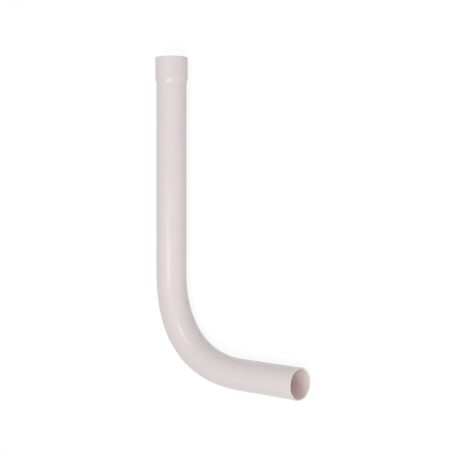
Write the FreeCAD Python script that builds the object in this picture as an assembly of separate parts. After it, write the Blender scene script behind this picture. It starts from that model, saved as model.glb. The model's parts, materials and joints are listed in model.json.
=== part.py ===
"""Plastic flush pipe: a long run with a belled socket, a hot-formed quarter bend and a short leg.

The pipe lies on its side. The origin is the centre of the socket's mouth, +Y points out of that mouth
along the run, +X is the way the leg points and +Z is up, square to the plane of the bend. Millimetres.
"""

import FreeCAD, Part
import math
import os
from FreeCAD import Vector

# Tube
tube_diameter = 40.0  # outside
tube_wall = 1.7
run_length = 406.0  # from the socket's mouth to the corner where the two axes would meet
leg_length = 218.0  # from that corner to the spigot's mouth

# Bend
bend_reach = 123.0  # from the corner of the axes to each end of the bend
bend_pull = 0.635  # share of that reach that draws the curve: 0.552 is a circle, more is tighter half way
bend_swell = 0.8  # how far the hot-formed bend stands proud of the tube, half way round it
bend_sections = 11  # that it is lofted through

# Belled socket at the end of the run
socket_depth = 28.0  # from the mouth to the shoulder that stops the mating tube
socket_clearance = 0.15  # round a mating tube of tube_diameter, on the radius
socket_wall = 1.4  # thinner than the tube's, because this end is stretched over a former
socket_lead_in = 0.3  # chamfer inside the mouth
socket_rim_round = 0.8  # on the outside of the mouth
shoulder_angle = math.radians(18.5)  # slope of the shoulder to the axis
shoulder_round = 3.0  # on the shoulder's outer edge, by the collar
shoulder_run_out = 14.0  # on its lower edges, where it runs out into the tube

# Plain spigot at the end of the leg
spigot_chamfer_depth = 0.4  # on the radius
spigot_chamfer_length = 0.8  # along the leg
spigot_bore_chamfer = 0.3  # on the inner edge of the cut end

tube_radius = tube_diameter / 2
bore_radius = tube_radius - tube_wall
socket_radius = tube_radius + socket_clearance
socket_outer_radius = socket_radius + socket_wall
run_straight = run_length - bend_reach

along_run = Vector(0, 1, 0)
along_leg = Vector(1, 0, 0)
up = Vector(0, 0, 1)
mouth_centre = Vector(0, 0, 0)
corner = Vector(0, -run_length, 0)
bend_start = corner + along_run * bend_reach
bend_end = corner + along_leg * bend_reach


def rounded_outline(corners):
    """A closed flat face through corners given as (point, rounding), tangent arcs at the rounded ones."""
    stretches = []
    for i, (point, rounding) in enumerate(corners):
        before = corners[i - 1][0]
        after = corners[(i + 1) % len(corners)][0]
        way_in = (point - before).normalize()
        way_out = (after - point).normalize()
        half_turn = way_in.getAngle(way_out) / 2
        back = rounding * math.tan(half_turn)
        start = point - way_in * back
        end = point + way_out * back
        inward = (way_out - way_in).normalize()
        middle = point + inward * (rounding / math.cos(half_turn) - rounding)
        stretches.append((start, middle, end, rounding))
    edges = []
    for i, (start, middle, end, rounding) in enumerate(stretches):
        if rounding:
            edges.append(Part.Arc(start, middle, end).toShape())
        edges.append(Part.LineSegment(end, stretches[(i + 1) % len(stretches)][0]).toShape())
    return Part.Face(Part.Wire(edges))


def run_with_socket():
    """The straight run and its belled socket, turned from a half section whose wall follows the shoulder."""
    shoulder_wall = (tube_wall + socket_wall) / 2
    slope = math.tan(shoulder_angle)
    inner_top = -socket_depth
    inner_foot = inner_top - (socket_radius - bore_radius) / slope
    spare_wall = socket_wall - shoulder_wall * math.cos(shoulder_angle)
    outer_top = inner_top - shoulder_wall * math.sin(shoulder_angle) + spare_wall / slope
    outer_foot = outer_top - (socket_outer_radius - tube_radius) / slope
    half_section = rounded_outline(
        [
            (Vector(socket_outer_radius, 0), socket_rim_round),
            (Vector(socket_outer_radius, outer_top), shoulder_round),
            (Vector(tube_radius, outer_foot), shoulder_run_out),
            (Vector(tube_radius, -run_straight), 0),
            (Vector(bore_radius, -run_straight), 0),
            (Vector(bore_radius, inner_foot), shoulder_run_out),
            (Vector(socket_radius, inner_top), 0),
            (Vector(socket_radius, -socket_lead_in), 0),
            (Vector(socket_radius + socket_lead_in, 0), 0),
        ]
    )
    return half_section.revolve(mouth_centre, along_run, 360)


def bend_route():
    """The bend's centre line, tangent to both axes and tightest half way between them."""
    route = Part.BezierCurve()
    drawn_from_start = bend_start + (corner - bend_start) * bend_pull
    drawn_from_end = bend_end + (corner - bend_end) * bend_pull
    route.setPoles([bend_start, drawn_from_start, drawn_from_end, bend_end])
    return route


def bend_skin(straight_radius):
    """The bend as a solid that has straight_radius at both ends and swells smoothly between them."""
    route = bend_route()
    sections = []
    for step in range(bend_sections):
        share = step / (bend_sections - 1)
        radius = straight_radius + bend_swell * math.sin(math.pi * share) ** 2
        heading = route.tangent(share)[0]
        circle = Part.Circle(route.value(share), heading, radius)
        circle.XAxis = up.cross(heading)  # keeps the seam straight along the inside of the bend
        sections.append(Part.Wire(circle.toShape()))
    return Part.makeLoft(sections, True, False, False, 3)  # solid, smooth, open, cubic


def bend():
    """The bend's wall, as thick as the tube's all the way round."""
    return bend_skin(tube_radius).cut(bend_skin(bore_radius))


def leg_with_spigot():
    """The straight leg, cut square, with its outer edge chamfered to enter a seal."""
    chamfer_start = leg_length - spigot_chamfer_length
    half_section = rounded_outline(
        [
            (corner + Vector(bend_reach, tube_radius), 0),
            (corner + Vector(chamfer_start, tube_radius), 0),
            (corner + Vector(leg_length, tube_radius - spigot_chamfer_depth), 0),
            (corner + Vector(leg_length, bore_radius + spigot_bore_chamfer), 0),
            (corner + Vector(leg_length - spigot_bore_chamfer, bore_radius), 0),
            (corner + Vector(bend_reach, bore_radius), 0),
        ]
    )
    return half_section.revolve(corner, along_leg, 360)


def flush_pipe():
    """The whole pipe as one solid."""
    joined = run_with_socket().fuse([bend(), leg_with_spigot()])
    return joined.Solids[0]


os.makedirs("parts", exist_ok=True)
flush_pipe().exportStep("parts/flush_pipe.step")
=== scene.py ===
"""Looks of a plastic flush pipe that lies on a pale studio floor.

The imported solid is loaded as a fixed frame. One piece stands for it: a seamless tube grown ring by ring
along the pipe's centre line, from the socket's rim over the outside to the spigot and back up the bore, so
that its wall is closed at both ends. Everything is in metres, in the frame of the solid: the origin is the
centre of the socket's mouth, +Y points out of it, +X is the way the leg points and +Z is up.
"""

import bisect
import json
import math

import bmesh
import bpy
from bpy.props import FloatProperty, FloatVectorProperty, IntProperty, PointerProperty
from bpy.types import Operator, Panel, PropertyGroup
from mathutils import Matrix, Vector


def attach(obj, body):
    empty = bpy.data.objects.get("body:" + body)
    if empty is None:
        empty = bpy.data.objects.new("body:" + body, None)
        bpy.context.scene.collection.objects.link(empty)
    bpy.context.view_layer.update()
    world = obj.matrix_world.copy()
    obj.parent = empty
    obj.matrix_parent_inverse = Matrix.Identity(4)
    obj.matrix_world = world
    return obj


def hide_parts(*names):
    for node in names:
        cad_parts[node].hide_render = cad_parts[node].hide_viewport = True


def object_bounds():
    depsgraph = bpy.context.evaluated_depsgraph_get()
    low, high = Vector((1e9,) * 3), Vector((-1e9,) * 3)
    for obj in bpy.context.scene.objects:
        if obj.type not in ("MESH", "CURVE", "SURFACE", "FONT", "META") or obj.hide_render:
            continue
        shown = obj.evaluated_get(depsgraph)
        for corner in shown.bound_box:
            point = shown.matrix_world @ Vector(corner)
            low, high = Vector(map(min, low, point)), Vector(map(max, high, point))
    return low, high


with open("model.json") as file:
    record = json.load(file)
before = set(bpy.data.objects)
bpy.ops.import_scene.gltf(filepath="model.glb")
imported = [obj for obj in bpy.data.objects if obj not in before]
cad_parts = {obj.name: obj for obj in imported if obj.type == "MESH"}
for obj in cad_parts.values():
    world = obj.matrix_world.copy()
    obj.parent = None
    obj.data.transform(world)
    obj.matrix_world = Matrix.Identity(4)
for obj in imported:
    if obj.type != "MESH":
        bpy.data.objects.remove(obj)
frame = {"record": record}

bl_info = {
    "name": "Flush pipe",
    "version": (1, 0, 0),
    "blender": (4, 5, 0),
    "location": "View3D > Sidebar > Flush pipe",
    "description": "Builds a plastic flush pipe and the studio that it is shown in",
    "category": "Object",
}

UP = Vector((0, 0, 1))
ALONG_RUN = Vector((0, -1, 0))
ALONG_LEG = Vector((1, 0, 0))
WHITE = (1, 1, 1, 1)

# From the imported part
cad_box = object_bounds()
record = frame["record"]
mount_radius = {mount["name"]: mount["dims"]["r_mm"] / 1000 for mount in record["mounts"]}
pvc = {finish["slot"]: finish for finish in record["materials"]}["pvc"]

# Softening of the small edges
chamfer_round = 0.0006  # where the spigot's chamfer starts
cut_edge_round = 0.00015  # on both edges of the cut end
bore_chamfer_round = 0.0003  # where the bore's chamfer ends
inner_shoulder_round = 0.0002  # at the bottom of the socket

# Where the finish changes, and where the bore gets painted light and the cut end painted shade
formed_reach = 0.008  # how far past the socket's depth the skin is as the former left it
cut_margin = 0.0001  # how far the cut end's finish reaches past its chamfers
bore_glow_at_mouth = 0.6  # how much of the bore's painted light shows at either mouth
bore_glow_depth = 0.02  # how deep in the bore it shows in full

# Stage
floor_height = cad_box[0][2]
floor_half_width = 4.0
lamp_distance = 1.6  # from the pipe's middle

# The way to each lamp from the pipe's middle, its width, its height along the run, and whether the gloss
# mirrors it or it only lights the pipe
lamps = {
    "front": ((0.84, -0.40, 0.37), 1.3, 1.5, False),
    "side": ((0.68, 0.55, 0.48), 1.0, 1.0, False),
    "low": ((0.42, -0.73, 0.53), 1.0, 0.9, False),
    "key": ((0.36, -0.265, 0.90), 0.8, 0.38, True),
    "back": ((-0.72, 0.19, 0.67), 0.8, 0.8, False),
    "top": ((0.14, 0.51, 0.85), 0.7, 0.3, True),
    "strip": ((0.27, -0.08, 0.96), 0.5, 0.2, True),
}


class FlushPipeShape(PropertyGroup):
    """Sizes of the pipe."""

    tube_diameter: FloatProperty(
        name="Tube diameter", description="Outside diameter of the tube",
        default=2 * mount_radius["spigot"], min=0.01, subtype="DISTANCE", unit="LENGTH")
    tube_wall: FloatProperty(
        name="Tube wall", description="Wall thickness of the tube",
        default=0.0017, min=0.0005, subtype="DISTANCE", unit="LENGTH")
    run_length: FloatProperty(
        name="Run", description="From the socket's mouth to the corner where the two axes would meet",
        default=-cad_box[0][1] - mount_radius["spigot"], subtype="DISTANCE", unit="LENGTH")
    leg_length: FloatProperty(
        name="Leg", description="From that corner to the spigot's mouth",
        default=cad_box[1][0], subtype="DISTANCE", unit="LENGTH")
    bend_reach: FloatProperty(
        name="Bend reach", description="From the corner of the axes to each end of the bend",
        default=0.123, subtype="DISTANCE", unit="LENGTH")
    bend_pull: FloatProperty(
        name="Bend pull",
        description="Share of the reach that draws the bend's curve; more is tighter half way",
        default=0.635, min=0, max=1, subtype="FACTOR")
    bend_swell: FloatProperty(
        name="Bend swell", description="How far the bend stands proud of the tube, half way round it",
        default=0.0008, subtype="DISTANCE", unit="LENGTH")
    socket_depth: FloatProperty(
        name="Socket depth", description="From the socket's mouth to its inner shoulder",
        default=0.028, subtype="DISTANCE", unit="LENGTH")
    socket_wall: FloatProperty(
        name="Socket wall", description="Wall thickness of the socket",
        default=0.0014, subtype="DISTANCE", unit="LENGTH")
    socket_lead_in: FloatProperty(
        name="Socket lead-in", description="Chamfer inside the socket's mouth",
        default=0.0003, subtype="DISTANCE", unit="LENGTH")
    socket_rim_round: FloatProperty(
        name="Socket rim", description="Rounding on the outside of the socket's mouth",
        default=0.0008, subtype="DISTANCE", unit="LENGTH")
    shoulder_angle: FloatProperty(
        name="Shoulder slope", description="Slope of the socket's shoulder to the axis",
        default=math.radians(18.5), subtype="ANGLE", unit="ROTATION")
    shoulder_round: FloatProperty(
        name="Shoulder edge", description="Rounding where the shoulder leaves the socket",
        default=0.003, subtype="DISTANCE", unit="LENGTH")
    shoulder_run_out: FloatProperty(
        name="Shoulder run-out", description="Rounding where the shoulder runs out into the tube",
        default=0.014, subtype="DISTANCE", unit="LENGTH")
    spigot_chamfer_depth: FloatProperty(
        name="Chamfer depth", description="Of the spigot's outer chamfer, on the radius",
        default=0.0004, subtype="DISTANCE", unit="LENGTH")
    spigot_chamfer_length: FloatProperty(
        name="Chamfer length", description="Of the spigot's outer chamfer, along the leg",
        default=0.0008, subtype="DISTANCE", unit="LENGTH")
    spigot_bore_chamfer: FloatProperty(
        name="Bore chamfer", description="On the inner edge of the spigot's cut end",
        default=0.0003, subtype="DISTANCE", unit="LENGTH")
    sides: IntProperty(
        name="Sides", description="Faces round the tube", default=128, min=16, max=256)
    ring_gap: FloatProperty(
        name="Ring gap", description="Largest distance between two rings of vertices",
        default=0.006, min=0.001, subtype="DISTANCE", unit="LENGTH")


class FlushPipeFinish(PropertyGroup):
    """Finish of the plastic."""

    colour: FloatVectorProperty(
        name="Plastic", description="Colour of the plastic",
        default=pvc["base_color"], size=3, min=0, max=1, subtype="COLOR")
    # Painted light: this paler, warmer colour, strongest deep in the bore, stands in for light shining
    # through the thin wall and bouncing inside it
    bore_glow_colour: FloatVectorProperty(
        name="Bore", description="Colour deep in the bore, paler and warmer than the outside",
        default=(0.955, 0.81, 0.79), size=3, min=0, max=1, subtype="COLOR")
    roughness: FloatProperty(
        name="Roughness", description="Roughness of the skin before the drawn lines add to it",
        default=0.18, min=0, max=1, subtype="FACTOR")


class FlushPipeStage(PropertyGroup):
    """Camera and lights."""

    camera_place: FloatVectorProperty(
        name="Camera", description="Where the camera stands",
        default=(1.00594, -0.16752, 1.00355), size=3, subtype="TRANSLATION", unit="LENGTH")
    camera_turn: FloatVectorProperty(
        name="Camera turn", description="Tilt, swing and roll of the camera",
        default=tuple(math.radians(turn) for turn in (-2.208, 42.147, 0.13)), size=3,
        subtype="EULER", unit="ROTATION")
    focal_length: FloatProperty(
        name="Focal length", description="Of the camera's lens, in millimetres",
        default=85.242, min=10, unit="CAMERA")
    fill: FloatProperty(
        name="Fill", description="Strength of the even light from all round", default=0.53, min=0)
    front_power: FloatProperty(
        name="Front", description="Power of the soft box before the spigot",
        default=5.8, min=0, unit="POWER")
    side_power: FloatProperty(
        name="Side", description="Power of the soft box beside the run",
        default=0.7, min=0, unit="POWER")
    low_power: FloatProperty(
        name="Low", description="Power of the soft box below the leg",
        default=1.4, min=0, unit="POWER")
    key_power: FloatProperty(
        name="Key", description="Power of the lamp over the bend, which glints on the shoulder",
        default=5.2, min=0, unit="POWER")
    back_power: FloatProperty(
        name="Back", description="Power of the soft box behind the run",
        default=0.5, min=0, unit="POWER")
    top_power: FloatProperty(
        name="Top", description="Power of the long lamp past the socket",
        default=2.95, min=0, unit="POWER")
    strip_power: FloatProperty(
        name="Strip", description="Power of the strip that glints on the run and the bend",
        default=0.8, min=0, unit="POWER")


def rounded(corners, steps=6):
    """The line through corners given as (along, radius, rounding), with each rounded one drawn as an arc."""
    line = []
    for i, (along, radius, rounding) in enumerate(corners):
        point = Vector((along, radius))
        if not rounding:
            line.append(point)
            continue
        way_in = (point - Vector(corners[i - 1][:2])).normalized()
        way_out = (Vector(corners[i + 1][:2]) - point).normalized()
        half_turn = way_in.angle(way_out) / 2
        back = rounding * math.tan(half_turn)
        centre = point + (way_out - way_in).normalized() * rounding / math.cos(half_turn)
        start = point - way_in * back - centre
        turn = way_in.angle_signed(way_out)
        for step in range(steps + 1):
            line.append(centre + Matrix.Rotation(-turn * step / steps, 2) @ start)
    return line


class Route:
    """The pipe's centre line, measured from the socket's mouth."""

    steps = 400  # that the bend's length is measured in

    def __init__(self, shape):
        corner = ALONG_RUN * shape.run_length
        start = corner - ALONG_RUN * shape.bend_reach
        end = corner + ALONG_LEG * shape.bend_reach
        self.poles = [start, start.lerp(corner, shape.bend_pull), end.lerp(corner, shape.bend_pull), end]
        self.run = shape.run_length - shape.bend_reach
        self.reached = [0.0]
        for step in range(self.steps):
            stretch = self.bend_point((step + 1) / self.steps) - self.bend_point(step / self.steps)
            self.reached.append(self.reached[-1] + stretch.length)
        self.bend = self.reached[-1]
        self.length = self.run + self.bend + shape.leg_length - shape.bend_reach

    def bend_point(self, share):
        """The point at that share of the bend's curve."""
        a, b, c, d = self.poles
        ab, bc, cd = a.lerp(b, share), b.lerp(c, share), c.lerp(d, share)
        return ab.lerp(bc, share).lerp(bc.lerp(cd, share), share)

    def bend_heading(self, share):
        """The way the pipe goes at that share of the bend's curve."""
        a, b, c, d = self.poles
        ab, bc, cd = b - a, c - b, d - c
        return ab.lerp(bc, share).lerp(bc.lerp(cd, share), share).normalized()

    def bend_share(self, along):
        """How far round the bend's curve a place along the pipe is, from 0 before it to 1 after it."""
        gone = along - self.run
        if gone <= 0 or gone >= self.bend:
            return 0.0 if gone <= 0 else 1.0
        i = bisect.bisect_right(self.reached, gone) - 1
        return (i + (gone - self.reached[i]) / (self.reached[i + 1] - self.reached[i])) / self.steps

    def place(self, along):
        """A place along the pipe as a matrix: X to the inside of the bend, Y up, Z the way it goes."""
        share = self.bend_share(along)
        heading = self.bend_heading(share)
        centre = self.bend_point(share)
        centre += heading * (min(along - self.run, 0) + max(along - self.run - self.bend, 0))
        turned = Matrix((UP.cross(heading), UP, heading)).transposed().to_4x4()
        return Matrix.Translation(centre) @ turned


def pipe_profile(shape, route):
    """(along, radius) of each ring, from the socket's mouth over the outside and back up the bore."""
    tube = shape.tube_diameter / 2
    bore = tube - shape.tube_wall
    socket = mount_radius["socket"]
    collar = socket + shape.socket_wall
    slope = math.tan(shape.shoulder_angle)
    shoulder_wall = (shape.tube_wall + shape.socket_wall) / 2
    spare_wall = shape.socket_wall - shoulder_wall * math.cos(shape.shoulder_angle)
    inner_foot = shape.socket_depth + (socket - bore) / slope
    outer_top = shape.socket_depth + shoulder_wall * math.sin(shape.shoulder_angle) - spare_wall / slope
    outer_foot = outer_top + (collar - tube) / slope
    end = route.length
    section = rounded(
        [
            (shape.socket_lead_in, socket, 0),
            (0, socket + shape.socket_lead_in, 0),
            (0, collar, shape.socket_rim_round),
            (outer_top, collar, shape.shoulder_round),
            (outer_foot, tube, shape.shoulder_run_out),
            (end - shape.spigot_chamfer_length, tube, chamfer_round),
            (end, tube - shape.spigot_chamfer_depth, cut_edge_round),
            (end, bore + shape.spigot_bore_chamfer, cut_edge_round),
            (end - shape.spigot_bore_chamfer, bore, bore_chamfer_round),
            (inner_foot, bore, shape.shoulder_run_out),
            (shape.socket_depth, socket, inner_shoulder_round),
            (shape.socket_lead_in, socket, 0),
        ]
    )
    rings = [section[0]]
    for point in section[1:]:
        before = rings[-1]
        count = max(1, math.ceil(abs(point[0] - before[0]) / shape.ring_gap))
        rings.extend(before.lerp(point, (step + 1) / count) for step in range(count))
    return rings[:-1]  # the last is the first again


def grow_pipe(bm, shape):
    """Extrudes one ring of vertices along the pipe, over both walls, and closes it on itself.

    Each vertex keeps where it would be on a straight pipe, for patterns that follow the bend, and how far it
    belongs to the cut end (with painted shade), to the bore (with painted light) and to the end that was
    formed into a socket.
    """
    route = Route(shape)
    straight = bm.verts.layers.float_vector.new("straight")
    cut = bm.verts.layers.float.new("cut")
    inside = bm.verts.layers.float.new("inside")
    formed = bm.verts.layers.float.new("formed")
    in_bore = False

    rim = first_rim = last_ring = None
    for along, radius in pipe_profile(shape, route):
        radius += shape.bend_swell * math.sin(math.pi * route.bend_share(along)) ** 2
        place = route.place(along)
        ring = place @ Matrix.Scale(radius, 4)
        if rim is None:
            verts = bmesh.ops.create_circle(bm, segments=shape.sides, radius=1.0, matrix=ring)["verts"]
            rim = first_rim = bm.edges[:]
        else:
            grown = bmesh.ops.extrude_edge_only(bm, edges=rim)["geom"]
            verts = [part for part in grown if isinstance(part, bmesh.types.BMVert)]
            rim = [part for part in grown if isinstance(part, bmesh.types.BMEdge) and part.is_boundary]
            bmesh.ops.transform(bm, matrix=ring @ last_ring.inverted(), verts=verts)
        last_ring = ring

        to_spigot = route.length - along
        in_bore = in_bore or to_spigot < cut_margin  # from there on the rings come back up the bore
        chamfer = shape.spigot_bore_chamfer if in_bore else shape.spigot_chamfer_length
        depth = min(1.0, min(along, to_spigot) / bore_glow_depth)
        straighten = place.inverted()
        for vert in verts:
            across = straighten @ vert.co
            vert[straight] = (across.x, across.y, along)
            # The cut end is rougher, and its colour gets painted shade
            vert[cut] = 1.0 if to_spigot < chamfer + cut_margin else 0.0
            # Share of the bore's painted light, from part of it at the mouths to all of it at depth
            vert[inside] = bore_glow_at_mouth + (1 - bore_glow_at_mouth) * depth if in_bore else 0.0
            vert[formed] = 1.0 if along < shape.socket_depth + formed_reach else 0.0
    bmesh.ops.bridge_loops(bm, edges=first_rim + rim)
    bmesh.ops.recalc_face_normals(bm, faces=bm.faces)


def mesh_object(name, bm, material):
    """A smooth object from a bmesh, at the origin."""
    mesh = bpy.data.meshes.new(name)
    bm.to_mesh(mesh)
    bm.free()
    mesh.shade_smooth()
    mesh.materials.append(material)
    piece = bpy.data.objects.new(name, mesh)
    bpy.context.scene.collection.objects.link(piece)
    return piece


def grey(level):
    """A grey as a colour socket takes it."""
    return (level, level, level, 1)


class Nodes:
    """A short way to write the nodes of a material or a world."""

    def __init__(self, tree):
        self.tree = tree
        tree.nodes.clear()

    def add(self, kind, settings=None, **inputs):
        """A node of that kind, with attributes from settings and a value or a link on each input.

        An input goes by its name, with _ for a space, or by i and its number.
        """
        node = self.tree.nodes.new(kind)
        for name, value in (settings or {}).items():
            setattr(node, name, value)
        for name, value in inputs.items():
            socket = node.inputs[int(name[1:]) if name[1:].isdigit() else name.replace("_", " ")]
            if isinstance(value, bpy.types.NodeSocket):
                self.tree.links.new(value, socket)
            else:
                socket.default_value = value
        return node

    def attribute(self, name, output="Fac"):
        """One of the attributes that the pipe's vertices keep."""
        return self.add("ShaderNodeAttribute", {"attribute_name": name}).outputs[output]

    def noise(self, place, **inputs):
        """Noise over that place, from 0 to 1."""
        return self.add("ShaderNodeTexNoise", Vector=place, **inputs).outputs["Fac"]

    def math(self, operation, *values):
        """The result of an operation on values or links."""
        inputs = {f"i{i}": value for i, value in enumerate(values)}
        return self.add("ShaderNodeMath", {"operation": operation}, **inputs).outputs[0]

    def spread(self, value, low, high):
        """A value brought to another range, whose ends are each given as (value, result)."""
        return self.add(
            "ShaderNodeMapRange", Value=value,
            From_Min=low[0], From_Max=high[0], To_Min=low[1], To_Max=high[1]).outputs[0]

    def mix(self, share, first, second, blend="MIX"):
        """Two colours, mixed by a share."""
        settings = {"data_type": "RGBA", "blend_type": blend}
        return self.add("ShaderNodeMix", settings, i0=share, i6=first, i7=second).outputs[2]


def drawn_pvc(finish):
    """Rigid PVC as it comes off the former: an even tone, faint clouding and fine lines along the pipe.

    The bore's colour grows paler and warmer with depth, as painted light through the thin wall, and the cut
    end's colour is darkened as painted shade.
    """
    line_stretch = 50  # how much longer the lines are than wide
    cloud_low, cloud_high = 0.3, 0.7  # of the noise that makes the clouds
    cloud_tone = 0.015  # how far the clouds lighten and darken the tone
    cloud_roughness = 0.10
    line_roughness = 0.06
    formed_roughness = -0.04  # the former leaves a smoother skin
    cut_roughness = 0.25
    cut_painted_shade = -0.1  # painted shade that darkens the brightly lit cut end's colour
    relief, formed_relief = 0.04, 0.01
    relief_depth = 0.0001

    material = bpy.data.materials.new("drawn_pvc")
    material.use_nodes = True
    n = Nodes(material.node_tree)
    place = n.attribute("straight", "Vector")
    cut = n.attribute("cut")
    formed = n.attribute("formed")
    stretched = n.add("ShaderNodeMapping", Vector=place, Scale=(1, 1, 1 / line_stretch)).outputs[0]
    lines = n.noise(stretched, Scale=900, Detail=3, Roughness=0.6)
    clouds = n.noise(place, Scale=45, Detail=3, Roughness=0.55)
    skin = n.noise(place, Scale=700, Detail=2, Roughness=0.5)

    # The bore's colour is painted light that lifts its shade, more of it deeper in
    plain = n.mix(n.attribute("inside"), (*finish.colour, 1), (*finish.bore_glow_colour, 1))
    clouded = n.spread(clouds, (cloud_low, 1 - cloud_tone), (cloud_high, 1 + cloud_tone))
    # The clouds vary the tone at random; the cut end's colour gets painted shade
    tone = n.mix(1.0, plain, n.math("MULTIPLY_ADD", cut, cut_painted_shade, clouded), "MULTIPLY")

    rough = n.math("MULTIPLY_ADD", clouds, cloud_roughness, finish.roughness - cloud_roughness / 2)
    rough = n.math("MULTIPLY_ADD", lines, line_roughness, rough)
    rough = n.math("MULTIPLY_ADD", formed, formed_roughness, rough)
    rough = n.math("MULTIPLY_ADD", cut, cut_roughness, rough)

    raised = n.math("MULTIPLY_ADD", formed, formed_relief - relief, relief)
    fine = n.add("ShaderNodeBump", Strength=raised, Distance=relief_depth, Height=lines)
    peel = n.add(
        "ShaderNodeBump", Strength=raised, Distance=relief_depth, Height=skin, Normal=fine.outputs[0])
    shader = n.add(
        "ShaderNodeBsdfPrincipled", Base_Color=tone, Roughness=rough, IOR=1.53, Normal=peel.outputs[0])
    n.add("ShaderNodeOutputMaterial", Surface=shader.outputs[0])
    return material


def shown_rays(n):
    """1 on rays that show the studio, straight or in a reflection, and 0 on those that carry its light."""
    rays = n.add("ShaderNodeLightPath").outputs
    mirrored = n.math("MAXIMUM", rays["Is Glossy Ray"], rays["Is Transmission Ray"])
    return n.math("MAXIMUM", rays["Is Camera Ray"], mirrored)


def studio_floor():
    """A white floor with a faint shadow, which runs out to plain white and lights the pipe as pale grey."""
    shadow_grey = 0.15
    light_grey = 0.65
    near, near_glow = 0.5, 0.88  # distance from the socket's mouth, and how much the floor glows within it
    far, far_glow = 2.5, 0.96

    material = bpy.data.materials.new("studio_floor")
    material.use_nodes = True
    n = Nodes(material.node_tree)
    shadowed = n.add("ShaderNodeBsdfDiffuse", Color=grey(shadow_grey)).outputs[0]
    place = n.add("ShaderNodeTexCoord").outputs["Object"]
    away = n.add("ShaderNodeVectorMath", {"operation": "LENGTH"}, i0=place).outputs["Value"]
    glow = n.spread(away, (near, near_glow), (far, far_glow))
    white = n.add("ShaderNodeEmission", Color=WHITE, Strength=glow).outputs[0]
    shown = n.add("ShaderNodeAddShader", i0=shadowed, i1=white).outputs[0]
    lighting = n.add("ShaderNodeBsdfDiffuse", Color=grey(light_grey)).outputs[0]
    surface = n.add("ShaderNodeMixShader", i0=shown_rays(n), i1=lighting, i2=shown).outputs[0]
    n.add("ShaderNodeOutputMaterial", Surface=surface)
    return material


def studio_world(fill):
    """Even light from all round, and white behind everything."""
    world = bpy.data.worlds.new("studio_world")
    world.use_nodes = True
    n = Nodes(world.node_tree)
    light = n.add("ShaderNodeBackground", Color=WHITE, Strength=fill).outputs[0]
    white = n.add("ShaderNodeBackground", Color=WHITE, Strength=1).outputs[0]
    surface = n.add("ShaderNodeMixShader", i0=shown_rays(n), i1=light, i2=white).outputs[0]
    n.add("ShaderNodeOutputWorld", Surface=surface)
    return world


class FLUSHPIPE_OT_pipe(Operator):
    """Build the pipe in place of its plain solid"""

    bl_idname = "flushpipe.pipe"
    bl_label = "Pipe"

    def execute(self, context):
        bm = bmesh.new()
        grow_pipe(bm, context.scene.flush_pipe_shape)
        if any(len(edge.link_faces) != 2 for edge in bm.edges):
            raise RuntimeError("the pipe's wall isn't closed")
        pipe = mesh_object("pipe", bm, drawn_pvc(context.scene.flush_pipe_finish))
        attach(pipe, "root")
        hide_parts("flush_pipe")
        return {"FINISHED"}


class FLUSHPIPE_OT_stage(Operator):
    """Set the floor, the lights and the camera"""

    bl_idname = "flushpipe.stage"
    bl_label = "Stage"

    def execute(self, context):
        stage = context.scene.flush_pipe_stage
        bm = bmesh.new()
        bmesh.ops.create_grid(bm, size=floor_half_width, matrix=Matrix.Translation((0, 0, floor_height)))
        mesh_object("floor", bm, studio_floor())
        context.scene.world = studio_world(stage.fill)
        for name, (way, width, height, glints) in lamps.items():
            self.add_lamp(context, name, getattr(stage, f"{name}_power"), way, width, height, glints)
        self.add_camera(context, stage)
        context.scene.view_settings.view_transform = "Standard"
        return {"FINISHED"}

    def add_lamp(self, context, name, power, way, width, height, glints):
        """A soft box that faces the pipe's middle from that way, with its height along the run.

        One that gives no glints only lights the pipe and isn't mirrored in its gloss.
        """
        middle = (Vector(cad_box[0]) + Vector(cad_box[1])) / 2
        data = bpy.data.lights.new(name, "AREA")
        data.shape = "RECTANGLE"
        data.size, data.size_y = width, height
        data.energy = power
        lamp = bpy.data.objects.new(name, data)
        lamp.visible_glossy = glints
        back = Vector(way).normalized()
        side = back.cross(ALONG_RUN).normalized()
        turn = Matrix((side, back.cross(side), back)).transposed().to_4x4()
        lamp.matrix_world = Matrix.Translation(middle + back * lamp_distance) @ turn
        context.scene.collection.objects.link(lamp)

    def add_camera(self, context, stage):
        """The camera that the picture is taken with."""
        data = bpy.data.cameras.new("camera")
        data.lens = stage.focal_length
        camera = bpy.data.objects.new("camera", data)
        camera.location = stage.camera_place
        camera.rotation_mode = "ZXY"
        camera.rotation_euler = stage.camera_turn
        context.scene.collection.objects.link(camera)
        context.scene.camera = camera


class FLUSHPIPE_PT_panel(Panel):
    """The pipe's sizes, finish and stage"""

    bl_label = "Flush pipe"
    bl_space_type = "VIEW_3D"
    bl_region_type = "UI"
    bl_category = "Flush pipe"

    def draw(self, context):
        scene = context.scene
        for group, operator in (
            (scene.flush_pipe_shape, None),
            (scene.flush_pipe_finish, FLUSHPIPE_OT_pipe.bl_idname),
            (scene.flush_pipe_stage, FLUSHPIPE_OT_stage.bl_idname),
        ):
            for name in type(group).__annotations__:
                self.layout.prop(group, name)
            if operator:
                self.layout.operator(operator)


classes = (
    FlushPipeShape,
    FlushPipeFinish,
    FlushPipeStage,
    FLUSHPIPE_OT_pipe,
    FLUSHPIPE_OT_stage,
    FLUSHPIPE_PT_panel,
)


def register():
    for cls in classes:
        bpy.utils.register_class(cls)
    bpy.types.Scene.flush_pipe_shape = PointerProperty(type=FlushPipeShape)
    bpy.types.Scene.flush_pipe_finish = PointerProperty(type=FlushPipeFinish)
    bpy.types.Scene.flush_pipe_stage = PointerProperty(type=FlushPipeStage)


def unregister():
    del bpy.types.Scene.flush_pipe_stage
    del bpy.types.Scene.flush_pipe_finish
    del bpy.types.Scene.flush_pipe_shape
    for cls in reversed(classes):
        bpy.utils.unregister_class(cls)


def main():
    register()
    bpy.ops.flushpipe.pipe()
    bpy.ops.flushpipe.stage()


if __name__ == "__main__":
    main()
